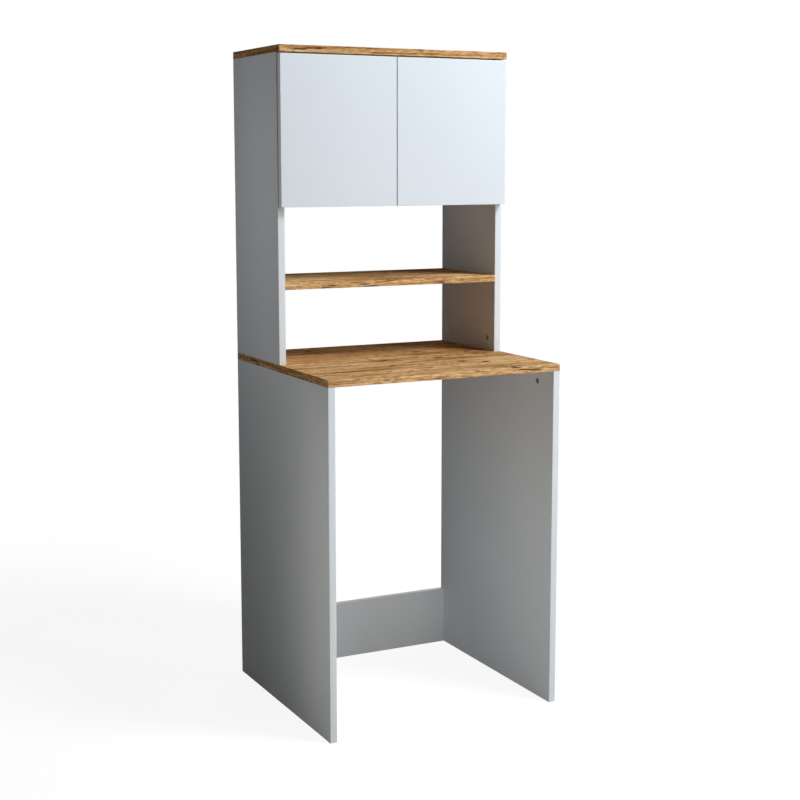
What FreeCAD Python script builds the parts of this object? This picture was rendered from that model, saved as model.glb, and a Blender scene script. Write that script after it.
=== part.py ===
"""Tall cabinet that bridges a washing machine: open bay, worktop, niche with a shelf, two-door cupboard.

Flat-pack build of melamine-faced chipboard with glued edge bands, cam fittings and dowels.
Millimetres, +X right, +Y back, +Z up, origin on the floor in the middle of the footprint.
"""
import FreeCAD
import Part
import math
import os

# Carcass
cabinet_width = 650.0
lower_depth = 600.0
lower_height = 900.0
hutch_height = 800.0
hutch_depth = 320.0
board = 18.0
rail_height = 160.0
shelf_height = 191.0
floor_height = 420.0

# Glued edge bands
band = 1.0
band_bevel = 0.5

# Hardboard back of the cupboard
back_board = 3.0
back_setback = 12.0
groove_depth = 6.0
groove_play = 0.1
groove_end_play = 0.5
nail_radius = 0.9
nail_length = 20.0
nail_head_radius = 2.4
nail_head_height = 0.8
nail_count = 5
nail_end_margin = 15.0

# Doors
door_gap = 3.0
door_side_reveal = 1.5
door_middle_gap = 3.0
door_top_gap = 3.0
door_overhang = 20.0
bumper_radius = 4.0
bumper_rim = 1.5
bumper_tip_radius = 2.0
bumper_play = 0.1
bumper_inset = 30.0

# Cam fittings
cam_radius = 7.5
cam_depth = 12.5
cam_play = 0.1
cam_backset = 34.0
cam_recess = 1.6
cam_recess_width = 1.4
cam_recess_length = 8.0
bolt_thread_radius = 3.0
bolt_thread_length = 11.0
bolt_shaft_radius = 3.4
bolt_neck_radius = 2.0
bolt_neck_length = 4.0
bolt_head_radius = 3.2
bolt_head_length = 4.0
bolt_play = 0.4
hole_end_play = 1.0

# Wooden dowels
dowel_radius = 4.0
dowel_in_edge = 23.0
dowel_in_face = 11.0
dowel_chamfer = 1.0

# Where the fittings sit, measured from the boards' front and back edges
lower_fitting_inset = 78.0
hutch_fitting_front = 39.0
hutch_fitting_back = 33.5
rail_cam_height = 110.0
rail_dowel_height = 50.0

# Concealed hinges
hinge_end_margin = 90.0
cup_radius = 17.5
cup_depth = 13.0
cup_edge_margin = 3.0
cup_wall = 0.9
cup_floor = 1.0
cup_play = 0.1
flange = 1.2
flange_screw_pitch = 48.0
flange_screw_offset = 6.0
flange_ear = 6.0
pin_radius = 1.25
pin_running_play = 0.05
eye_radius = 2.3
eye_floor_play = 0.5
eye_side_play = 1.0
eye_half_width = 4.0
lug_side_play = 0.4
lug_radius = 2.6
neck_above_pin = 0.3
neck_thickness = 2.4
arm_standoff = 2.6
arm_height = 4.3
arm_web = 1.7
arm_half_width = 6.6
arm_wall = 1.5
arm_bend_radius = 4.0
arm_end_bevel = 2.0
plate_setback = 37.0
plate_thickness = 2.2
plate_screw_pitch = 32.0
plate_wing_radius = 7.5
plate_length = 36.0
ridge_half_width = 4.8
ridge_end_margin = 2.0
arm_tail = 16.0
clamp_screw_radius = 2.0
clamp_head_radius = 3.6
clamp_head_height = 2.0
clamp_slot_length = 5.0
clamp_play = 0.1
clamp_offset = 8.0
adjuster_length = 4.0
adjuster_offset = -8.0
plate_screw_radius = 3.1
plate_screw_length = 12.0
plate_screw_head_radius = 4.6
plate_screw_head_height = 1.6
cup_screw_radius = 1.75
cup_screw_length = 13.0
cup_screw_head_radius = 3.4
cup_screw_head_height = 1.8
screw_rim = 0.9
screw_dome_inset = 1.4
screw_slot = 0.9
screw_slot_depth = 0.8
screw_slot_margin = 1.0

# How far a cutting shape runs past what it cuts, and how near two places count as the same
cut_margin = 1.0
same_place = 1e-6

# Flat sides of small round pieces and of the holes that they sit in
fastener_sides = 8
cam_sides = 12
pin_sides = 12
cup_sides = 20

# Places that follow from the sizes above
half_width = cabinet_width / 2
inner_x = half_width - board
back_y = lower_depth / 2
front_y = -back_y
worktop_under = lower_height - board
top_z = lower_height + hutch_height
top_under = top_z - board
hutch_top_front = back_y - hutch_depth
hutch_front = hutch_top_front + board + door_gap
shelf_z = lower_height + shelf_height
floor_z = lower_height + floor_height
back_board_rear = back_y - back_setback
back_board_front = back_board_rear - back_board
door_back = hutch_front - door_gap
door_front = door_back - board
door_bottom = floor_z - door_overhang
door_top = top_under - door_top_gap
door_edge_x = half_width - door_side_reveal
door_inner_x = door_middle_gap / 2
hutch_fittings_y = [hutch_front + hutch_fitting_front, back_y - hutch_fitting_back]
lower_fittings_y = [front_y + lower_fitting_inset, back_y - lower_fitting_inset]
lower_dowel_y = (lower_fittings_y[0] + hutch_fittings_y[0]) / 2
hutch_dowel_y = (hutch_fittings_y[0] + hutch_fittings_y[1]) / 2
hinge_heights = [door_bottom + hinge_end_margin, door_top - hinge_end_margin]

# Hinge places, in the left hinge's frame: x from the side's inner face, y back from its front edge
cup_x = door_side_reveal - board + cup_edge_margin + cup_radius
pin_x = cup_x - cup_radius + cup_wall + eye_radius + eye_side_play
pin_depth = cup_depth - cup_floor - eye_radius - eye_floor_play
pin_y = -door_gap - pin_depth
arm_outer_x = arm_standoff + arm_height
web_x = arm_outer_x - arm_web
arm_rear = plate_setback + arm_tail

UP = FreeCAD.Vector(0, 0, 1)
DOWN = FreeCAD.Vector(0, 0, -1)
RIGHT = FreeCAD.Vector(1, 0, 0)
LEFT = FreeCAD.Vector(-1, 0, 0)
BACK = FreeCAD.Vector(0, 1, 0)
FRONT = FreeCAD.Vector(0, -1, 0)
ORIGIN = FreeCAD.Vector(0, 0, 0)


def block(low, high):
    """Box between two opposite corners."""
    low_corner = FreeCAD.Vector(*low)
    size = FreeCAD.Vector(*high) - low_corner
    return Part.makeBox(size.x, size.y, size.z, low_corner)


def ring(radius, height, sides):
    """Corners of a level regular polygon around Z."""
    corners = []
    for index in range(sides):
        angle = 2 * math.pi * index / sides
        corners.append(FreeCAD.Vector(radius * math.cos(angle), radius * math.sin(angle), height))
    return corners


def face_through(corners):
    """Flat face with the given corners."""
    return Part.Face(Part.makePolygon(corners + corners[:1]))


def turned(profile, sides=fastener_sides):
    """Small turned piece around Z with flat sides, from its (radius, height) points and two flat ends."""
    rings = [ring(radius, height, sides) for radius, height in profile]
    faces = [face_through(rings[0]), face_through(rings[-1])]
    for lower, upper in zip(rings, rings[1:]):
        for index in range(sides):
            following = (index + 1) % sides
            faces.append(face_through([lower[index], lower[following], upper[following], upper[index]]))
    solid = Part.Solid(Part.Shell(faces)).removeSplitter()
    if solid.Volume < 0:
        solid.reverse()
    return solid


def flat_sided_rod(radius, start, end, sides=fastener_sides):
    """Small round piece along Z between two heights, with flat sides."""
    return turned([(radius, start), (radius, end)], sides)


def placed(shape, origin, along, facing):
    """Copy of a shape whose own Z points along one direction and whose own X faces another."""
    turn = FreeCAD.Rotation(facing, along.cross(facing), along, "ZXY")
    copy = shape.copy()
    copy.Placement = FreeCAD.Placement(FreeCAD.Vector(*origin), turn).multiply(copy.Placement)
    return copy


def round_ended_bar(half_length, radius, height):
    """Bar with round ends of a few flats, its long way along X and its thickness along Z."""
    corners = []
    for index in range(fastener_sides // 2 + 1):
        angle = 2 * math.pi * index / fastener_sides - math.pi / 2
        corners.append(FreeCAD.Vector(half_length + radius * math.cos(angle), radius * math.sin(angle), 0))
    corners += [FreeCAD.Vector(-corner.x, -corner.y, 0) for corner in corners]
    return face_through(corners).extrude(UP * height)


def mirrored(shape):
    """The same shape on the other side of the cabinet."""
    return shape.mirror(ORIGIN, RIGHT)


def edge_band(low, high, outward):
    """Edge band between two corners, with both long outer edges eased."""
    strip = block(low, high)
    length = max(strip.BoundBox.XLength, strip.BoundBox.YLength, strip.BoundBox.ZLength)
    outer = max(vertex.Point.dot(outward) for vertex in strip.Vertexes)
    long_outer_edges = []
    for edge in strip.Edges:
        on_outer_face = all(abs(vertex.Point.dot(outward) - outer) < same_place for vertex in edge.Vertexes)
        if on_outer_face and abs(edge.Length - length) < same_place:
            long_outer_edges.append(edge)
    return strip.makeChamfer(band_bevel, long_outer_edges)


class Joint:
    """Cam fittings and dowels of one pair of boards, gathered with the holes that they need."""

    def __init__(self):
        self.cams = []
        self.bolts = []
        self.dowels = []
        self.edge_holes = []
        self.face_holes = []

    def add_cam(self, origin, along, facing):
        """One cam in the board behind the origin, its bolt screwed into the board in front of it."""
        self.cams.append(placed(cam_lock(), origin, along, facing))
        self.bolts.append(placed(cam_bolt(), origin, along, facing))
        for hole in cam_holes():
            self.edge_holes.append(placed(hole, origin, along, facing))
        thread_hole = flat_sided_rod(bolt_thread_radius, 0, bolt_thread_length + hole_end_play)
        self.face_holes.append(placed(thread_hole, origin, along, facing))

    def add_dowel(self, origin, along, facing):
        """One dowel, part in the edge of the board behind the origin, part in the other board's face."""
        self.dowels.append(placed(dowel(), origin, along, facing))
        edge_hole = flat_sided_rod(dowel_radius, -dowel_in_edge - hole_end_play, 0)
        self.edge_holes.append(placed(edge_hole, origin, along, facing))
        face_hole = flat_sided_rod(dowel_radius, 0, dowel_in_face + hole_end_play)
        self.face_holes.append(placed(face_hole, origin, along, facing))

    def mirrored_copy(self):
        """The same joint at the other end of the boards."""
        other = Joint()
        for name in ("cams", "bolts", "dowels", "edge_holes", "face_holes"):
            setattr(other, name, [mirrored(shape) for shape in getattr(self, name)])
        return other


def in_cam_face(shape):
    """A shape built around Z, turned so that it enters the board's face at the cam's place."""
    return placed(shape, (board / 2, 0, -cam_backset), RIGHT, UP)


def cam_lock():
    """Cam housing, flush with the board's face, with a slot to turn it and a pocket for the bolt's head."""
    cam = in_cam_face(flat_sided_rod(cam_radius - cam_play, -cam_depth, 0, cam_sides))
    slot_length = cam_recess_length / 2
    slot_width = cam_recess_width / 2
    slot = block((-slot_length, -slot_width, -cam_recess), (slot_length, slot_width, cut_margin))
    half_pocket = bolt_shaft_radius + cam_play
    pocket = block((-half_pocket, -half_pocket, -cam_backset - bolt_head_length),
                   (half_pocket, half_pocket, cam_radius - cam_backset))
    return cam.cut([in_cam_face(slot), pocket])


def cam_bolt():
    """Bolt with a threaded end, a plain shaft, and a neck below the cone that the cam pulls on."""
    head_end = -cam_backset - bolt_head_length / 2
    neck_start = head_end + bolt_head_length
    shaft_end = neck_start + bolt_neck_length
    return turned([
        (bolt_head_radius, head_end), (bolt_neck_radius, neck_start), (bolt_neck_radius, shaft_end),
        (bolt_shaft_radius, shaft_end), (bolt_shaft_radius, 0),
        (bolt_thread_radius, 0), (bolt_thread_radius, bolt_thread_length),
    ])


def cam_holes():
    """Hole for the cam housing and the bolt's bore from the board's edge."""
    cam_hole = in_cam_face(flat_sided_rod(cam_radius, -cam_depth - hole_end_play, 0, cam_sides))
    bore = flat_sided_rod(bolt_shaft_radius + bolt_play, -cam_backset, 0)
    return [cam_hole, bore]


def dowel():
    """Beech dowel with chamfered ends."""
    tapered = dowel_radius - dowel_chamfer
    return turned([
        (tapered, -dowel_in_edge), (dowel_radius, dowel_chamfer - dowel_in_edge),
        (dowel_radius, dowel_in_face - dowel_chamfer), (tapered, dowel_in_face),
    ])


def pan_head_screw(head_radius, head_height, shank_radius, length):
    """Screw with a low domed head that stands on Z zero, and a slot to turn it."""
    body = turned([
        (head_radius - screw_dome_inset, head_height), (head_radius, screw_rim), (head_radius, 0),
        (shank_radius, 0), (shank_radius, -length),
    ])
    return body.cut(drive_slot(head_radius, head_height))


def sunk_screw_body(head_radius, head_height, shank_radius, length):
    """Countersunk screw whose flat head ends at Z zero, before its slot is cut."""
    return turned([(head_radius, 0), (shank_radius, -head_height), (shank_radius, -length)])


def drive_slot(head_radius, head_top):
    """Slot in a screw's head for the screwdriver."""
    reach = head_radius - screw_slot_margin
    return block((-screw_slot / 2, -reach, head_top - screw_slot_depth),
                 (screw_slot / 2, reach, head_top + cut_margin))


def nail():
    """Flat-headed nail, head above Z zero."""
    return turned([
        (nail_head_radius, nail_head_height), (nail_head_radius, 0),
        (nail_radius, 0), (nail_radius, -nail_length),
    ])


def side_joint(edge_z, along, cams_y, dowels_y):
    """Left upright's joint with the board on or under its end; the mirrored copy serves the right one."""
    joint = Joint()
    middle_x = board / 2 - half_width
    for y in cams_y:
        joint.add_cam((middle_x, y, edge_z), along, RIGHT)
    for y in dowels_y:
        joint.add_dowel((middle_x, y, edge_z), along, RIGHT)
    return joint


def shelf_joint(under_z, cams_y, dowels_y):
    """Left end of a level board between the uprights, its cams sunk in the underside."""
    joint = Joint()
    middle_z = under_z + board / 2
    for y in cams_y:
        joint.add_cam((-inner_x, y, middle_z), LEFT, DOWN)
    for y in dowels_y:
        joint.add_dowel((-inner_x, y, middle_z), LEFT, DOWN)
    return joint


def rail_joint():
    """Left end of the back rail, its cam sunk in the rear face."""
    joint = Joint()
    middle_y = back_y - board / 2
    joint.add_cam((-inner_x, middle_y, rail_cam_height), LEFT, BACK)
    joint.add_dowel((-inner_x, middle_y, rail_dowel_height), LEFT, BACK)
    return joint


def lower_sides(worktop_joint, rail_joint_left):
    """Upright panels of the machine bay, with a band on the front edge."""
    panel = block((-half_width, front_y + band, 0), (-inner_x, back_y, worktop_under))
    left = panel.cut(worktop_joint.edge_holes + rail_joint_left.face_holes)
    strip = edge_band((-half_width, front_y, 0), (-inner_x, front_y + band, worktop_under), FRONT)
    return {
        "lower_side_left": left,
        "lower_side_right": mirrored(left),
        "lower_side_band_left": strip,
        "lower_side_band_right": mirrored(strip),
    }


def back_rail(joint_left):
    """Low rail across the back of the bay, standing on the floor between the uprights."""
    panel = block((-inner_x, back_y - board, 0), (inner_x, back_y, rail_height - band))
    strip = edge_band((-inner_x, back_y - board, rail_height - band), (inner_x, back_y, rail_height), UP)
    holes = joint_left.edge_holes + joint_left.mirrored_copy().edge_holes
    return {"lower_back_rail": panel.cut(holes), "rail_band": strip}


def deck(front, under, holes):
    """Full-width oak board with bands on its front and both ends."""
    upper = under + board
    panel = block((band - half_width, front + band, under), (half_width - band, back_y, upper))
    front_strip = edge_band((-half_width, front, under), (half_width, front + band, upper), FRONT)
    end_strip = edge_band((-half_width, front + band, under), (band - half_width, back_y, upper), LEFT)
    bands = Part.makeCompound([front_strip, end_strip, mirrored(end_strip)])
    return panel.cut(holes), bands


def back_groove():
    """Room for the hardboard in the uprights and under the top."""
    reach = inner_x + groove_depth
    return block((-reach, back_board_front - groove_play, floor_z - groove_end_play),
                 (reach, back_board_rear + groove_play, top_under + groove_depth))


def hutch_sides(foot_joint, top_joint, floor_joint, shelf_joint_left, hinge_holes):
    """Uprights of the hutch, grooved for the hardboard and drilled for fittings and hinge plates."""
    panel = block((-half_width, hutch_front + band, lower_height), (-inner_x, back_y, top_under))
    holes = foot_joint.edge_holes + top_joint.edge_holes + floor_joint.face_holes
    holes += shelf_joint_left.face_holes + hinge_holes + [back_groove()]
    left = panel.cut(holes)
    strip = edge_band((-half_width, hutch_front, lower_height),
                      (-inner_x, hutch_front + band, top_under), FRONT)
    return {
        "hutch_side_left": left,
        "hutch_side_right": mirrored(left),
        "hutch_side_band_left": strip,
        "hutch_side_band_right": mirrored(strip),
    }


def level_board(under, rear, joint_left, more_holes):
    """Board between the hutch uprights with a band on its front edge."""
    panel = block((-inner_x, hutch_front + band, under), (inner_x, rear, under + board))
    holes = joint_left.edge_holes + joint_left.mirrored_copy().edge_holes + more_holes
    strip = edge_band((-inner_x, hutch_front, under), (inner_x, hutch_front + band, under + board), FRONT)
    return panel.cut(holes), strip


def cupboard_back():
    """Hardboard in its grooves, nailed to the rear edge of the cupboard floor."""
    reach = inner_x + groove_depth - groove_end_play
    upper = top_under + groove_depth - groove_end_play
    sheet = block((-reach, back_board_front, floor_z), (reach, back_board_rear, upper))
    first_x = cam_backset + cam_radius + nail_end_margin - inner_x
    spacing = -2 * first_x / (nail_count - 1)
    nails = []
    nail_holes = []
    for index in range(nail_count):
        head = (first_x + index * spacing, back_board_rear, floor_z + board / 2)
        nails.append(placed(nail(), head, BACK, RIGHT))
        nail_holes.append(placed(flat_sided_rod(nail_radius, -nail_length, 0), head, BACK, RIGHT))
    return sheet.cut(nail_holes), Part.makeCompound(nails), nail_holes


def door(holes):
    """Left door: a plain slab with a band on each of its four edges."""
    outer, inner = -door_edge_x, -door_inner_x
    panel_low, panel_high = door_bottom + band, door_top - band
    panel = block((outer + band, door_front, panel_low), (inner - band, door_back, panel_high))
    strips = [
        edge_band((outer, door_front, door_bottom), (inner, door_back, panel_low), DOWN),
        edge_band((outer, door_front, panel_high), (inner, door_back, door_top), UP),
        edge_band((outer, door_front, panel_low), (outer + band, door_back, panel_high), LEFT),
        edge_band((inner - band, door_front, panel_low), (inner, door_back, panel_high), RIGHT),
    ]
    return panel.cut(holes), Part.makeCompound(strips)


def door_bumper():
    """Soft pad on the left door's back that meets the front edge of the cupboard floor."""
    height = door_gap - bumper_play
    pad = turned([(bumper_radius, 0), (bumper_radius, bumper_rim), (bumper_tip_radius, height)], cam_sides)
    return placed(pad, (-door_inner_x - bumper_inset, door_back, floor_z + board / 2), BACK, RIGHT)


def in_cup_place(radius, depth, above):
    """Round shape at a cup's place, from above the door's back face down into the door."""
    return placed(flat_sided_rod(radius, -depth, above, cup_sides), (cup_x, -door_gap, 0), BACK, RIGHT)


def around_pin(radius, low, high):
    """Round shape on the hinge's axis between two heights."""
    return placed(flat_sided_rod(radius, low, high, pin_sides), (pin_x, pin_y, 0), UP, RIGHT)


def hinge_cup():
    """Die-cast cup let into the door, with screw ears, and two lugs that hold the pin."""
    floor_y = cup_floor - cup_depth - door_gap
    shell_radius = cup_radius - cup_play
    shell = in_cup_place(shell_radius, cup_depth, flange)
    ears = round_ended_bar(flange_screw_pitch / 2, flange_ear, flange)
    ears = placed(ears, (cup_x + flange_screw_offset, -door_gap, 0), BACK, UP)
    pocket = in_cup_place(shell_radius - cup_wall, cup_depth - cup_floor, flange)
    room = in_cup_place(shell_radius, cup_depth, 0)
    lugs = []
    for sign in (-1, 1):
        low, high = sorted((sign * (eye_half_width + lug_side_play), sign * cup_radius))
        foot = block((pin_x - lug_radius, floor_y, low), (pin_x + lug_radius, pin_y, high))
        lugs.append(foot.fuse(around_pin(lug_radius, low, high)).common(room))
    holes = at_cup_ears(cup_screw_hole()) + [hinge_pin()]
    return shell.fuse(ears).cut(pocket).fuse(lugs).cut(holes).removeSplitter()


def at_cup_ears(shape):
    """Copies of a screw-like shape at a cup's two ears."""
    half_pitch = flange_screw_pitch / 2
    ear_x = cup_x + flange_screw_offset
    heights = (-half_pitch, half_pitch)
    return [placed(shape, (ear_x, flange - door_gap, z), BACK, RIGHT) for z in heights]


def cup_screw_hole():
    """Hole for a cup screw through the ear and into the door."""
    return flat_sided_rod(cup_screw_radius, -cup_screw_length - hole_end_play, 0)


def pin_half_length():
    """Half the pin's length, so that both ends stop at the cup's wall."""
    return math.sqrt((cup_radius - cup_play - cup_wall) ** 2 - (cup_x - pin_x + pin_radius) ** 2)


def hinge_pin():
    """Pin that the door turns on, fixed in the cup's lugs."""
    half_length = pin_half_length()
    return around_pin(pin_radius, -half_length, half_length)


def hinge_arm():
    """Gooseneck arm: a channel on the plate whose nose reaches into the cup and turns back to the pin."""
    neck_near = pin_y + neck_above_pin
    neck_far = neck_near - neck_thickness
    bend_x = arm_outer_x - arm_bend_radius
    bend_y = neck_far + arm_bend_radius
    diagonal = arm_bend_radius * math.sqrt(0.5)
    bend_middle = FreeCAD.Vector(bend_x + diagonal, bend_y - diagonal, 0)
    bend_start = FreeCAD.Vector(bend_x, neck_far, 0)
    bend_end = FreeCAD.Vector(arm_outer_x, bend_y, 0)
    tail = [
        bend_end, FreeCAD.Vector(arm_outer_x, arm_rear, 0), FreeCAD.Vector(arm_standoff, arm_rear, 0),
        FreeCAD.Vector(arm_standoff, neck_near, 0), FreeCAD.Vector(pin_x, neck_near, 0),
        FreeCAD.Vector(pin_x, neck_far, 0), bend_start,
    ]
    edges = [Part.Arc(bend_start, bend_middle, bend_end).toShape()]
    edges += [Part.makeLine(start, end) for start, end in zip(tail, tail[1:])]
    outline = Part.Face(Part.Wire(edges))
    outline.translate(FreeCAD.Vector(0, 0, -arm_half_width))
    arm = outline.extrude(FreeCAD.Vector(0, 0, 2 * arm_half_width))
    arm = arm.makeChamfer(arm_end_bevel, [edge for edge in arm.Edges if is_rear_corner(edge)])
    trims = []
    for sign in (-1, 1):
        low, high = sorted((sign * eye_half_width, sign * (arm_half_width + cut_margin)))
        trims.append(block((pin_x - eye_radius, neck_far - cut_margin, low),
                           (arm_standoff, neck_near + cut_margin, high)))
    channel_half = arm_half_width - arm_wall
    channel_front = neck_near + arm_bend_radius
    trims.append(block((arm_standoff - cut_margin, channel_front, -channel_half),
                       (web_x, arm_rear + cut_margin, channel_half)))
    slot = round_ended_bar(clamp_slot_length / 2, clamp_screw_radius + clamp_play, arm_web)
    trims.append(placed(slot, (web_x, plate_setback + clamp_offset, 0), RIGHT, BACK))
    trims.append(at_adjuster(flat_sided_rod(clamp_screw_radius, 0, arm_web)))
    eye = around_pin(eye_radius, -eye_half_width, eye_half_width)
    bore_radius = (pin_radius + pin_running_play) / math.cos(math.pi / pin_sides)
    bore = around_pin(bore_radius, -eye_half_width, eye_half_width)
    return arm.cut(trims).fuse(eye).cut(bore).removeSplitter()


def at_adjuster(shape):
    """A shape at the side-adjusting screw's place, its base on the ridge."""
    return placed(shape, (web_x, plate_setback + adjuster_offset, 0), RIGHT, UP)


def at_clamp(shape):
    """A shape at the clamp screw's place, its head on the arm."""
    return placed(shape, (arm_outer_x, plate_setback + clamp_offset, 0), RIGHT, UP)


def is_rear_corner(edge):
    """True for the arm's two outer corners at its tail, which run through the web's thickness."""
    start, end = [vertex.Point for vertex in edge.Vertexes]
    at_tail = abs(start.y - arm_rear) < same_place and abs(end.y - arm_rear) < same_place
    return at_tail and abs(start.z - end.z) < same_place


def hinge_plate():
    """Mounting plate: two screw wings, and the ridge that the arm's channel straddles."""
    half_pitch = plate_screw_pitch / 2
    body_half = ridge_half_width + plate_thickness
    rear = plate_setback + plate_length / 2
    front = plate_setback - plate_length / 2
    base = block((0, front, -body_half), (plate_thickness, rear, body_half))
    wing_bar = round_ended_bar(half_pitch, plate_wing_radius, plate_thickness)
    wings = placed(wing_bar, (0, plate_setback, 0), RIGHT, UP)
    ridge = block((plate_thickness, front + ridge_end_margin, -ridge_half_width),
                  (web_x, rear - ridge_end_margin, ridge_half_width))
    plate = base.fuse([wings, ridge]).removeSplitter()
    clamp_hole = at_clamp(flat_sided_rod(clamp_screw_radius, -arm_outer_x, 0))
    return plate.cut([clamp_hole] + at_plate_holes(plate_screw_body()))


def plate_screw_body():
    """Countersunk screw of the hinge plates, before its slot is cut."""
    return sunk_screw_body(plate_screw_head_radius, plate_screw_head_height, plate_screw_radius,
                           plate_screw_length + plate_thickness)


def at_plate_holes(shape):
    """Copies of a screw-like shape at a plate's two holes."""
    half_pitch = plate_screw_pitch / 2
    heights = (-half_pitch, half_pitch)
    return [placed(shape, (plate_thickness, plate_setback, z), RIGHT, UP) for z in heights]


def plate_screws():
    """Two countersunk screws that hold a plate to the upright."""
    return at_plate_holes(plate_screw_body().cut(drive_slot(plate_screw_head_radius, 0.0)))


def cup_screws():
    """Two pan-head screws through a cup's ears into the door."""
    body = pan_head_screw(cup_screw_head_radius, cup_screw_head_height, cup_screw_radius, cup_screw_length)
    return at_cup_ears(body)


def arm_screws():
    """Clamp screw through the arm's slot into the ridge, and the side-adjusting screw on the ridge."""
    clamp_length = arm_outer_x - plate_thickness
    clamp = pan_head_screw(clamp_head_radius, clamp_head_height, clamp_screw_radius, clamp_length)
    adjuster = flat_sided_rod(clamp_screw_radius, 0, adjuster_length)
    return [at_clamp(clamp), at_adjuster(adjuster.cut(drive_slot(clamp_screw_radius, adjuster_length)))]


def at_hinges(shapes):
    """Copies of left hinge pieces at each hinge height."""
    copies = []
    for height in hinge_heights:
        for shape in shapes:
            copy = shape.copy()
            copy.translate(FreeCAD.Vector(-inner_x, hutch_front, height))
            copies.append(copy)
    return copies


def hinge_holes_in_side():
    """Screw holes for the hinge plates in the left upright."""
    hole_end = -plate_thickness - plate_screw_length - hole_end_play
    return at_hinges(at_plate_holes(flat_sided_rod(plate_screw_radius, hole_end, -plate_thickness)))


def hinge_holes_in_door():
    """Cup holes and pilot holes in the left door."""
    cup_hole = in_cup_place(cup_radius, cup_depth + cup_play, 0)
    return at_hinges([cup_hole] + at_cup_ears(cup_screw_hole()))


def hinge_nodes():
    """Pieces of both hinges of the left door, then the same mirrored for the right door."""
    groups = {
        "hinge_cups": [hinge_cup()],
        "hinge_pins": [hinge_pin()],
        "hinge_arms": [hinge_arm()],
        "hinge_plates": [hinge_plate()],
        "hinge_cup_screws": cup_screws(),
        "hinge_plate_screws": plate_screws(),
        "hinge_arm_screws": arm_screws(),
    }
    nodes = {}
    for name, shapes in groups.items():
        left = Part.makeCompound(at_hinges(shapes))
        nodes[name + "_left"] = left
        nodes[name + "_right"] = mirrored(left)
    return nodes


def fitting_nodes(name, joint_left):
    """Cams, bolts and dowels of a joint at both ends of its boards."""
    joint_right = joint_left.mirrored_copy()
    nodes = {}
    for kind in ("cams", "bolts", "dowels"):
        pieces = getattr(joint_left, kind) + getattr(joint_right, kind)
        if pieces:
            nodes[name + "_" + kind] = Part.makeCompound(pieces)
    return nodes


def build():
    """All pieces of the cabinet by name."""
    worktop_joint = side_joint(worktop_under, UP, lower_fittings_y, [lower_dowel_y])
    foot_joint = side_joint(lower_height, DOWN, hutch_fittings_y, [hutch_dowel_y])
    top_joint = side_joint(top_under, UP, hutch_fittings_y, [hutch_dowel_y])
    floor_joint = shelf_joint(floor_z, hutch_fittings_y[:1], hutch_fittings_y[1:])
    niche_joint = shelf_joint(shelf_z, [], hutch_fittings_y)
    rail_ends = rail_joint()
    nodes = {}
    nodes.update(lower_sides(worktop_joint, rail_ends))
    nodes.update(back_rail(rail_ends))
    worktop_holes = worktop_joint.face_holes + foot_joint.face_holes
    worktop_holes += worktop_joint.mirrored_copy().face_holes + foot_joint.mirrored_copy().face_holes
    nodes["worktop"], nodes["worktop_bands"] = deck(front_y, worktop_under, worktop_holes)
    top_holes = top_joint.face_holes + top_joint.mirrored_copy().face_holes + [back_groove()]
    nodes["top_panel"], nodes["top_bands"] = deck(hutch_top_front, top_under, top_holes)
    nodes.update(hutch_sides(foot_joint, top_joint, floor_joint, niche_joint, hinge_holes_in_side()))
    nodes["back_panel"], nodes["back_panel_nails"], nail_holes = cupboard_back()
    floor_board, floor_band = level_board(floor_z, back_board_front, floor_joint, nail_holes)
    shelf_board, shelf_band = level_board(shelf_z, back_y, niche_joint, [])
    nodes.update({"compartment_floor": floor_board, "floor_band": floor_band})
    nodes.update({"open_shelf": shelf_board, "shelf_band": shelf_band})
    nodes["door_left"], nodes["door_bands_left"] = door(hinge_holes_in_door())
    nodes["door_right"] = mirrored(nodes["door_left"])
    nodes["door_bands_right"] = mirrored(nodes["door_bands_left"])
    nodes["door_bumper_left"] = door_bumper()
    nodes["door_bumper_right"] = mirrored(nodes["door_bumper_left"])
    joints = {"worktop": worktop_joint, "hutch_foot": foot_joint, "top": top_joint,
              "floor": floor_joint, "shelf": niche_joint, "rail": rail_ends}
    for name, joint in joints.items():
        nodes.update(fitting_nodes(name, joint))
    nodes.update(hinge_nodes())
    return nodes


os.makedirs("parts", exist_ok=True)
for node_name, node_shape in build().items():
    node_shape.exportStep("parts/" + node_name + ".step")
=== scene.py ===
"""Looks of a tall washing machine cabinet: board finishes, fittings, studio light and the camera.

Metres, in the frame's own axes: +X right, +Y back, +Z up, floor at Z zero. Small fittings are given in
millimetres, where their class says so.
"""
import logging
import math
from collections.abc import Callable, Iterable, Iterator
from contextlib import contextmanager
from dataclasses import dataclass, replace
from enum import Enum

import bmesh
import bpy
from mathutils import Matrix, Vector


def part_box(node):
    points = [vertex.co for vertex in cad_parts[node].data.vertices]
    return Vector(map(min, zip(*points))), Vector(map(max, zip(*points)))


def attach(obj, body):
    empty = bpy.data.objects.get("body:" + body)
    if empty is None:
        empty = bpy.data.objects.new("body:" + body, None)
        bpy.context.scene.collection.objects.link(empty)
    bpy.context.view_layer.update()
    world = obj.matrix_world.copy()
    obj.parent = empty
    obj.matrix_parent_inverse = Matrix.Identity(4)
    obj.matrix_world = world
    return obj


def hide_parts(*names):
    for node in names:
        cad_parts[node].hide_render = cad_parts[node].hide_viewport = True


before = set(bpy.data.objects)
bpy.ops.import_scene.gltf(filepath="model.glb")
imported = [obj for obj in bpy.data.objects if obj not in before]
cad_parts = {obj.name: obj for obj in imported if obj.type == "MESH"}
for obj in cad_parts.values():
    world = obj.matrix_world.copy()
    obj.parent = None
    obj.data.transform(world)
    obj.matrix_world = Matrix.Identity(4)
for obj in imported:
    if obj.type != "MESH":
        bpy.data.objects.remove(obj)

log = logging.getLogger("cabinet")
Triple = tuple[float, float, float]
Colour = Triple
Span = tuple[float, float]
Stops = tuple[tuple[float, Colour], ...]
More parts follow.
